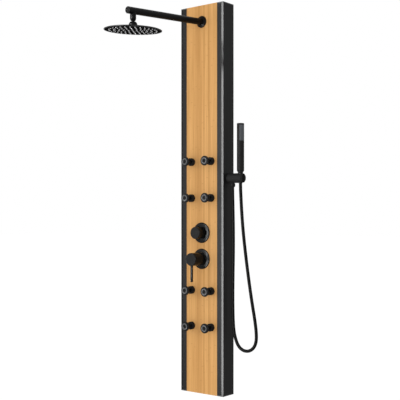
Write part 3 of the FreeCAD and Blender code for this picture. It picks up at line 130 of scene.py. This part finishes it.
class Graph:
    """A short way to write the nodes of a material or of the world."""

    def __init__(self, owner):
        owner.use_nodes = True
        self.owner = owner
        self.tree = owner.node_tree
        self.tree.nodes.clear()

    def add(self, kind, inputs=None, **settings):
        """A node with its settings; an input is a number, a colour or another node's output."""
        node = self.tree.nodes.new(kind)
        for name, value in settings.items():
            setattr(node, name, value)
        for key, value in (inputs or {}).items():
            if isinstance(value, bpy.types.NodeSocket):
                self.tree.links.new(value, node.inputs[key])
            else:
                node.inputs[key].default_value = value
        return node

    def place(self):
        """Where a point lies on the object, in metres."""
        return self.add("ShaderNodeTexCoord").outputs["Object"]

    def axes(self, vector):
        """A vector's outputs X, Y and Z."""
        return self.add("ShaderNodeSeparateXYZ", {"Vector": vector}).outputs

    def scaled(self, vector, scale):
        return self.add("ShaderNodeMapping", {"Vector": vector, "Scale": scale}).outputs[0]

    def noise(self, vector, scale=1.0, detail=4.0, roughness=0.5):
        inputs = {"Vector": vector, "Scale": scale, "Detail": detail, "Roughness": roughness}
        return self.add("ShaderNodeTexNoise", inputs).outputs["Fac"]

    def math(self, operation, first, second=0.0, third=0.0):
        inputs = {0: first, 1: second, 2: third}
        return self.add("ShaderNodeMath", inputs, operation=operation).outputs[0]

    def spread(self, value, low, high, to_low, to_high):
        """Maps low..high of a value to to_low..to_high, and no further."""
        inputs = {0: value, 1: low, 2: high, 3: to_low, 4: to_high}
        return self.add("ShaderNodeMapRange", inputs).outputs[0]

    def from_noise(self, noise, to_low=0.0, to_high=1.0):
        """Maps the part of its range that a noise seldom leaves to to_low..to_high."""
        return self.spread(noise, 0.3, 0.7, to_low, to_high)

    def mix(self, factor, first, second):
        """The first colour where the factor is 0, the second where it is 1."""
        inputs = {0: factor, 6: first, 7: second}
        return self.add("ShaderNodeMix", inputs, data_type="RGBA").outputs[2]

    def bump(self, height, distance, strength):
        inputs = {"Height": height, "Distance": distance, "Strength": strength}
        return self.add("ShaderNodeBump", inputs).outputs[0]

    def finish(self, inputs):
        """The material, whose shader has these inputs."""
        shader = self.add("ShaderNodeBsdfPrincipled", inputs)
        self.add("ShaderNodeOutputMaterial", {"Surface": shader.outputs[0]})
        return self.owner


# ---- camera, lights and backdrop


def camera():
    """At the photograph's place: level, a little below the column's middle, to its right."""
    data = bpy.data.cameras.new("camera")
    data.lens = 75.57
    data.sensor_width = 36
    data.shift_y = 0.04
    thing = bpy.data.objects.new("camera", data)
    thing.location = (1.9432, -2.5277, -0.0619)
    aim = Vector((-0.6210, 0.7838, 0.0))
    thing.rotation_mode = "QUATERNION"
    thing.rotation_quaternion = aim.to_track_quat("-Z", "Y")
    bpy.context.scene.collection.objects.link(thing)
    bpy.context.scene.camera = thing


def area_light(name, place, target, width, height, power):
    data = bpy.data.lights.new(name, "AREA")
    data.shape = "RECTANGLE"
    data.size = width
    data.size_y = height
    data.energy = power
    thing = bpy.data.objects.new(name, data)
    thing.location = place
    thing.rotation_mode = "QUATERNION"
    thing.rotation_quaternion = (Vector(target) - Vector(place)).to_track_quat("-Z", "Y")
    bpy.context.scene.collection.objects.link(thing)
    return thing


def lights():
    """A tall soft key from the left, a narrower fill from the right, and a tall thin strip
    in front that is only there for reflections. It stands where the bevel of the frame's
    right corner mirrors it into the camera, and the cover rings show it too."""
    column = (0, 0, 0)
    right_bevel = (0.096, FRONT, 0.05)
    area_light("key", place=(-1.75, -2.3, 0.0), target=column, width=1.2, height=1.7, power=13)
    area_light("fill", place=(2.8, -2.3, 0.6), target=column, width=0.6, height=1.6, power=20)
    strip = area_light("strip", place=(-0.1025, -0.94, 0.05), target=right_bevel,
                       width=0.225, height=1.95, power=68)
    strip.visible_diffuse = False
    strip.visible_camera = False


def world():
    """White where it is seen or mirrored, and a level grey light for the rest."""
    light_level = 0.92
    graph = Graph(bpy.data.worlds.new("world"))
    bpy.context.scene.world = graph.owner
    rays = graph.add("ShaderNodeLightPath").outputs
    seen = rays["Is Camera Ray"]
    for name in ("Is Glossy Ray", "Is Transmission Ray"):
        seen = graph.math("MAXIMUM", seen, rays[name])
    light = graph.add("ShaderNodeBackground", {"Color": grey(1.0), "Strength": light_level})
    white = graph.add("ShaderNodeBackground", {"Color": grey(1.0), "Strength": 1.0})
    mixed = graph.add("ShaderNodeMixShader", {0: seen, 1: light.outputs[0], 2: white.outputs[0]})
    graph.add("ShaderNodeOutputWorld", {"Surface": mixed.outputs[0]})


def floor():
    """A plain pale floor some way below the column. The camera sees it nearly white."""
    half = 30
    glow = 1.07
    glow_share = 0.88
    graph = Graph(bpy.data.materials.new("floor"))
    speckle = graph.noise(graph.place(), scale=3, detail=3)
    pale = graph.mix(speckle, grey(0.8), grey(0.86))
    diffuse = graph.add("ShaderNodeBsdfDiffuse", {"Color": pale})
    white = graph.add("ShaderNodeEmission", {"Color": grey(1.0), "Strength": glow})
    seen = graph.add("ShaderNodeLightPath").outputs["Is Camera Ray"]
    share = graph.math("MULTIPLY", seen, glow_share)
    mixed = graph.add("ShaderNodeMixShader", {0: share, 1: diffuse.outputs[0], 2: white.outputs[0]})
    graph.add("ShaderNodeOutputMaterial", {"Surface": mixed.outputs[0]})
    mesh = bpy.data.meshes.new("floor")
    corners = [(x * half, y * half, FLOOR_LEVEL) for x, y in ((-1, -1), (1, -1), (1, 1), (-1, 1))]
    mesh.from_pydata(corners, [], [(0, 1, 2, 3)])
    mesh.materials.append(graph.owner)
    thing = bpy.data.objects.new("floor", mesh)
    bpy.context.scene.collection.objects.link(thing)


# ---- materials. A noise's scale is its waves per metre, along X, Y and Z where it has three.


def bamboo():
    """Narrow strips side by side, each with its own tone, long fibres and a few faint knuckles."""
    dark = (0.48, 0.227, 0.063, 1)
    light = (0.77, 0.427, 0.154, 1)
    darkest_tone = 0.48
    lightest_tone = 1.18
    strip_width = 0.0074
    seam_colour = (0.34, 0.155, 0.05, 1)
    seam_start = 0.465  # from a strip's middle, in strip widths
    seam_share = 0.45
    seam_relief = -1.2  # against the fibres' own relief
    knuckle_colour = (0.36, 0.165, 0.05, 1)
    knuckles_per_metre = 4.4
    knuckle_shift = 9.0  # the most that a strip's knuckles are moved along it, in spacings
    knuckle_reach = 0.009  # to either side, in spacings
    knuckle_share = 0.38

    graph = Graph(bpy.data.materials.new("bamboo"))
    place = graph.place()
    axes = graph.axes(place)
    across = graph.math("MULTIPLY", axes["X"], 1 / strip_width)
    strip = graph.math("FLOOR", across)
    random = graph.add("ShaderNodeTexWhiteNoise", {"W": strip}, noise_dimensions="1D").outputs["Value"]
    fibres = graph.noise(graph.scaled(place, (1500, 300, 14)), detail=6, roughness=0.6)
    streaks = graph.noise(graph.scaled(place, (330, 60, 6)), detail=4)
    clouds = graph.noise(graph.scaled(place, (90, 20, 3)), detail=3)
    tone = 0.0
    for part, weight in ((random, 0.3), (fibres, 0.4), (streaks, 0.65), (clouds, 0.35)):
        tone = graph.math("MULTIPLY_ADD", part, weight, tone)
    tone = graph.spread(tone, darkest_tone, lightest_tone, 0.0, 1.0)
    colour = graph.mix(tone, dark, light)

    from_middle = graph.math("SUBTRACT", graph.math("FRACT", across), 0.5)
    seam = graph.spread(graph.math("ABSOLUTE", from_middle), seam_start, 0.5, 0.0, seam_share)
    colour = graph.mix(seam, colour, seam_colour)

    height = graph.math("MULTIPLY", axes["Z"], knuckles_per_metre)
    height = graph.math("MULTIPLY_ADD", random, knuckle_shift, height)
    from_knuckle = graph.math("SUBTRACT", graph.math("FRACT", height), 0.5)
    knuckle = graph.spread(graph.math("ABSOLUTE", from_knuckle), 0.0, knuckle_reach, knuckle_share, 0.0)
    colour = graph.mix(knuckle, colour, knuckle_colour)

    relief = graph.math("MULTIPLY_ADD", seam, seam_relief, fibres)
    return graph.finish({
        "Base Color": colour,
        "Roughness": graph.from_noise(fibres, 0.56, 0.42),
        "Specular IOR Level": 0.04,
        "Normal": graph.bump(relief, distance=0.00012, strength=0.5),
    })


def satin_black(name, base, smoothest, roughest, specular, grain=2600):
    """A fine powder coat: a very small orange peel, and patches that are a shade glossier."""
    graph = Graph(bpy.data.materials.new(name))
    place = graph.place()
    peel = graph.noise(place, scale=grain, detail=3, roughness=0.55)
    patches = graph.noise(place, scale=28, detail=4, roughness=0.6)
    return graph.finish({
        "Base Color": graph.mix(graph.from_noise(patches), grey(base * 0.82), grey(base * 1.2)),
        "Roughness": graph.from_noise(patches, smoothest, roughest),
        "Specular IOR Level": specular,
        "Normal": graph.bump(peel, distance=0.00004, strength=0.35),
    })


def drawn_black(name, base):
    """Coated extrusion: faint die lines run up its whole length, and its bevels are polished."""
    margin = 0.0001
    polish = -0.31
    graph = Graph(bpy.data.materials.new(name))
    place = graph.place()
    lines = graph.noise(graph.scaled(place, (900, 900, 1.5)), detail=4, roughness=0.6)
    patches = graph.noise(graph.scaled(place, (9, 9, 3)), detail=3)
    axes = graph.axes(place)
    beside = graph.math("GREATER_THAN", graph.math("ABSOLUTE", axes["X"]), SIDE - BEVEL_WIDTH)
    before = graph.math("LESS_THAN", axes["Y"], FRONT + BEVEL_DEPTH + margin)
    bevel = graph.math("MULTIPLY", beside, before)
    roughness = graph.from_noise(patches, 0.46, 0.52)
    return graph.finish({
        "Base Color": graph.mix(graph.from_noise(lines), grey(base * 0.85), grey(base * 1.18)),
        "Roughness": graph.math("MULTIPLY_ADD", bevel, polish, roughness),
        "Specular IOR Level": 0.09,
        "Normal": graph.bump(lines, distance=0.00004, strength=0.25),
    })


def zinc(name):
    """Galvanised sheet: soft crystals of lighter and darker grey."""
    graph = Graph(bpy.data.materials.new(name))
    place = graph.place()
    crystals = graph.add("ShaderNodeTexVoronoi", {"Vector": place, "Scale": 160.0}).outputs["Color"]
    value = graph.axes(crystals)["X"]
    skin = graph.noise(place, scale=900, detail=3)
    return graph.finish({
        "Base Color": graph.mix(value, grey(0.42), grey(0.6)),
        "Metallic": 0.9,
        "Roughness": graph.spread(value, 0.0, 1.0, 0.38, 0.52),
        "Normal": graph.bump(skin, distance=0.00005, strength=0.3),
    })


def cast_brass(name):
    """Brass as it was cast: a sandy skin, dull and brighter in patches."""
    graph = Graph(bpy.data.materials.new(name))
    place = graph.place()
    skin = graph.noise(place, scale=700, detail=5, roughness=0.65)
    patches = graph.noise(place, scale=40, detail=4, roughness=0.6)
    return graph.finish({
        "Base Color": graph.mix(patches, (0.46, 0.31, 0.11, 1), (0.66, 0.48, 0.21, 1)),
        "Metallic": 1.0,
        "Roughness": graph.from_noise(patches, 0.32, 0.5),
        "Normal": graph.bump(skin, distance=0.0001, strength=0.35),
    })


def moulded(name, base, roughness, specular=0.4):
    """Plastic or rubber with a fine moulded grain."""
    graph = Graph(bpy.data.materials.new(name))
    place = graph.place()
    grain = graph.noise(place, scale=1800, detail=2)
    patches = graph.noise(place, scale=60, detail=3)
    darkest = tuple(0.88 * part for part in base) + (1,)
    lightest = tuple(1.1 * part for part in base) + (1,)
    return graph.finish({
        "Base Color": graph.mix(patches, darkest, lightest),
        "Roughness": graph.from_noise(patches, roughness * 0.9, roughness * 1.12),
        "Specular IOR Level": specular,
        "Normal": graph.bump(grain, distance=0.00005, strength=0.3),
    })


def dress(material, *names):
    """Gives CAD nodes a material."""
    for name in names:
        slots = nodes[name].data.materials
        slots.clear()
        slots.append(material)


# ---- making pieces


def mesh_from(name, bm):
    """The mesh of a bmesh, smooth except where faces meet at a sharp angle."""
    sharp = math.radians(40)
    bmesh.ops.recalc_face_normals(bm, faces=bm.faces)
    for face in bm.faces:
        face.smooth = True
    for edge in bm.edges:
        edge.smooth = len(edge.link_faces) == 2 and edge.calc_face_angle(math.pi) < sharp
    mesh = bpy.data.meshes.new(name)
    bm.to_mesh(mesh)
    bm.free()
    return mesh


def new_piece(name, mesh, body, material):
    """A finished mesh as a piece of the object, on its body."""
    piece = bpy.data.objects.new(name, mesh)
    bpy.context.scene.collection.objects.link(piece)
    mesh.materials.append(material)
    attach(piece, body)
    return piece


def circle(steps):
    """The cosine and the sine of each step around a circle."""
    angles = [2 * math.pi * step / steps for step in range(steps)]
    return [(math.cos(angle), math.sin(angle)) for angle in angles]


def skin_rings(bm, rings, steps):
    """Faces from each ring of vertices to the next; a ring may be a single vertex."""
    for low, high in zip(rings, rings[1:]):
        for k in range(steps):
            after = (k + 1) % steps
            corners = [low[k % len(low)], low[after % len(low)]]
            corners += [high[after % len(high)], high[k % len(high)]]
            bm.faces.new(list(dict.fromkeys(corners)))


def lathe(bm, profile, place, steps=48):
    """Turns (radius, height) points about +Z, then puts them where the matrix says."""
    rings = []
    for radius, height in profile:
        around = circle(steps) if radius else [(0, 0)]
        points = [Vector((radius * cosine, radius * sine, height)) for cosine, sine in around]
        rings.append([bm.verts.new(place @ point) for point in points])
    skin_rings(bm, rings, steps)


# ---- hose


def hose_path():
    """Points along the smooth line whose control points are the hose's route."""
    curve = bpy.data.curves.new("hose_route", "CURVE")
    curve.dimensions = "3D"
    curve.resolution_u = 16
    spline = curve.splines.new("NURBS")
    spline.points.add(len(HOSE_ROUTE) - 1)
    for point, (x, z) in zip(spline.points, HOSE_ROUTE):
        point.co = (x, HOLDER_DEPTH, z, 1)
    spline.order_u = 3
    spline.use_endpoint_u = True
    route = bpy.data.objects.new("hose_route", curve)
    line = bpy.data.meshes.new_from_object(route)
    path = [vertex.co.copy() for vertex in line.vertices]
    bpy.data.objects.remove(route)
    return path


def tube(path, radius, steps=24):
    """A closed tube along a path that stays in one plane, square to the Y axis."""
    across = Vector((0, 1, 0))
    bm = bmesh.new()
    rings = []
    for k, point in enumerate(path):
        along = (path[min(k + 1, len(path) - 1)] - path[max(k - 1, 0)]).normalized()
        up = along.cross(across)
        offsets = [across * cosine + up * sine for cosine, sine in circle(steps)]
        rings.append([bm.verts.new(point + offset * radius) for offset in offsets])
    skin_rings(bm, rings, steps)
    for ring in (rings[0], rings[-1]):
        bm.faces.new(ring)
    return bm


def hose(material):
    """The hose as a smooth tube, which stands for the CAD's. The spline's length is its real one."""
    path = hose_path()
    mesh = mesh_from("hose", tube(path, HOSE_RADIUS))
    mesh.materials.append(material)
    piece = bpy.data.objects.new("hose", mesh)
    bpy.context.scene.collection.objects.link(piece)
    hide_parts("shower_hose")
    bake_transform(piece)


# ---- body jets. Their profiles are (radius, height) points, with the height out of the face.


def jet_face(number):
    """A matrix whose +Z points out of a jet's face, from the face's middle."""
    x, _, z = joints[f"jet_{number}_pan"]["pos_m"]
    depth = rounded(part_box(f"jet_{number}_head")[0])[1]
    return Matrix.Translation((x, depth, z)) @ Matrix.Rotation(math.pi / 2, 4, "X")


def jet_soft_ring(number, rubber):
    """The soft ring that carries a jet's nozzles."""
    profile = [(0.0066, -0.001), (0.0066, 0.0002), (0.0071, 0.0006), (0.0103, 0.0006), (0.0103, -0.001)]
    bm = bmesh.new()
    lathe(bm, profile, jet_face(number))
    new_piece(f"jet_{number}_soft_ring", mesh_from("soft_ring", bm), f"jet_{number}_head", rubber)


def jet_lip_and_nozzles(number, pale):
    """The pale lip around a jet's soft ring, and the nozzles on the ring."""
    lip = [
        (0.0104, -0.001),
        (0.0104, 0.0008),
        (0.0107, 0.0011),
        (0.0111, 0.0011),
        (0.0114, 0.0008),
        (0.0114, -0.001),
    ]
    nozzle = [(0.0009, 0), (0.0008, 0.0009), (0.0005, 0.0011), (0.00045, 0.0003), (0, 0.0003)]
    nozzle_count = 10
    nozzle_circle = 0.0087
    nozzle_foot = 0.0005
    face = jet_face(number)
    bm = bmesh.new()
    lathe(bm, lip, face)
    for cosine, sine in circle(nozzle_count):
        spot = Matrix.Translation((nozzle_circle * cosine, nozzle_circle * sine, nozzle_foot))
        lathe(bm, nozzle, face @ spot, steps=16)
    new_piece(f"jet_{number}_lip_and_nozzles", mesh_from("lip", bm), f"jet_{number}_head", pale)


def jet_core(number, black):
    """The stepped core inside a jet's soft ring."""
    profile = [
        (0.0063, -0.003),
        (0.0063, -0.0018),
        (0.0046, -0.0018),
        (0.0042, -0.0006),
        (0.0025, -0.0006),
        (0.0021, -0.0014),
        (0, -0.0014),
    ]
    bm = bmesh.new()
    lathe(bm, profile, jet_face(number))
    new_piece(f"jet_{number}_core", mesh_from("jet_core", bm), f"jet_{number}_head", black)


# ---- hand shower


def spray_nozzles(material):
    """Rows of small nozzles on the hand shower's spray face."""
    facing = math.radians(-29.2)
    column_turn = math.radians(17)
    row_count = 12
    lowest_row = 0.2175
    row_spacing = 0.0044
    face_radius = 0.013
    nozzle = [(0.001, 0), (0.0008, 0.0006), (0.0004, 0.0007), (0, 0.0005)]
    bm = bmesh.new()
    for row in range(row_count):
        height = lowest_row + row_spacing * row
        for column in (-1, 0, 1):
            turn = facing + column_turn * column
            out = Vector((math.cos(turn), math.sin(turn), 0))
            spot = Vector((HANDSET_X, HOLDER_DEPTH, height)) + out * face_radius
            place = Matrix.Translation(spot) @ out.to_track_quat("Z", "Y").to_matrix().to_4x4()
            lathe(bm, nozzle, place, steps=14)
    new_piece("handset_nozzles", mesh_from("handset_nozzles", bm), "hand_shower", material)


# ---- the whole scene


def every_jet(part):
    """The names of the CAD nodes of one kind, one for each jet."""
    return [f"jet_{number}_{part}" for number in JET_NUMBERS]


def main():
    """Sets the scene, gives each CAD node its material and adds what the CAD leaves out."""
    bpy.context.scene.view_settings.view_transform = "Standard"
    camera()
    lights()
    world()
    floor()

    # Black coats. The arm and the head's top are glossier than the hand shower, and the
    # spray plate is seen nearly edge on, where a coat with any specular looks grey.
    fitting = satin_black("satin_black", base=0.004, smoothest=0.22, roughest=0.3, specular=0.085)
    matt = satin_black("matt_black", base=0.012, smoothest=0.64, roughest=0.74, specular=0.04)
    soft_black = satin_black("soft_black", base=0.012, smoothest=0.52, roughest=0.6, specular=0.03)
    arm_black = satin_black("arm_black", base=0.004, smoothest=0.3, roughest=0.38, specular=0.045)
    deep_black = satin_black("deep_black", base=0.005, smoothest=0.6, roughest=0.7, specular=0.0)
    frame_black = drawn_black("drawn_black", base=0.0055)
    # The hose is duller, with a finer grain.
    hose_black = satin_black("hose_black", base=0.003, smoothest=0.5, roughest=0.6, specular=0.035,
                             grain=3000)
    # Plastics and rubbers.
    black_plastic = moulded("black_plastic", base=(0.014, 0.014, 0.014), roughness=0.55, specular=0.3)
    white_plastic = moulded("white_plastic", base=(0.78, 0.77, 0.73), roughness=0.45)
    black_rubber = moulded("black_rubber", base=(0.02, 0.02, 0.02), roughness=0.7)
    dark_rubber = moulded("dark_rubber", base=(0.02, 0.02, 0.021), roughness=0.6, specular=0.15)
    nozzle_grey = moulded("nozzle_grey", base=(0.62, 0.62, 0.63), roughness=0.6, specular=0.2)
    ring_grey = moulded("ring_grey", base=(0.2, 0.204, 0.208), roughness=0.5)
    spray_grey = moulded("spray_grey", base=(0.062, 0.067, 0.074), roughness=0.5, specular=0.1)

    dress(bamboo(), "bamboo_front_board")
    dress(frame_black, "left_side_profile", "right_side_profile")
    dress(black_plastic, "top_cap", "bottom_cap", *every_jet("swivel_ring"))
    dress(zinc("zinc"), "wall_brackets", "hanger_bars", "hanger_screws", "mixer_pivot_pin")
    dress(cast_brass("cast_brass"), "arm_inlet_elbow", "valve_body", "inlet_nipples",
          "arm_riser_pipe", "jet_feed_pipes", "handset_feed_pipe", "jet_lock_nuts",
          "outlet_lock_nut", "diverter_spindle")
    dress(black_rubber, "ball_seal_ring")
    dress(white_plastic, "ball_seat_ring")
    dress(nozzle_grey, "rain_head_nozzle_mat")
    dress(spray_grey, "handset_spray_face")
    dress(arm_black, "shower_arm", "arm_escutcheon", "ball_stud", "swivel_nut", "rain_head_shell")
    dress(fitting, "mixer_escutcheon", "mixer_sleeve", "mixer_turret", "mixer_handle", "mixer_lever",
          "diverter_escutcheon", "diverter_bonnet", "diverter_knob", "hose_cone_nut",
          *every_jet("head"))
    dress(matt, "outlet_holder_body", "hose_outlet_nut")
    dress(soft_black, "handset_body", "handset_end_cap", "jet_bases")
    dress(deep_black, "rain_head_spray_plate")

    hose(hose_black)
    for number in JET_NUMBERS:
        jet_soft_ring(number, dark_rubber)
        jet_lip_and_nozzles(number, ring_grey)
        jet_core(number, fitting)
    spray_nozzles(spray_grey)


main()
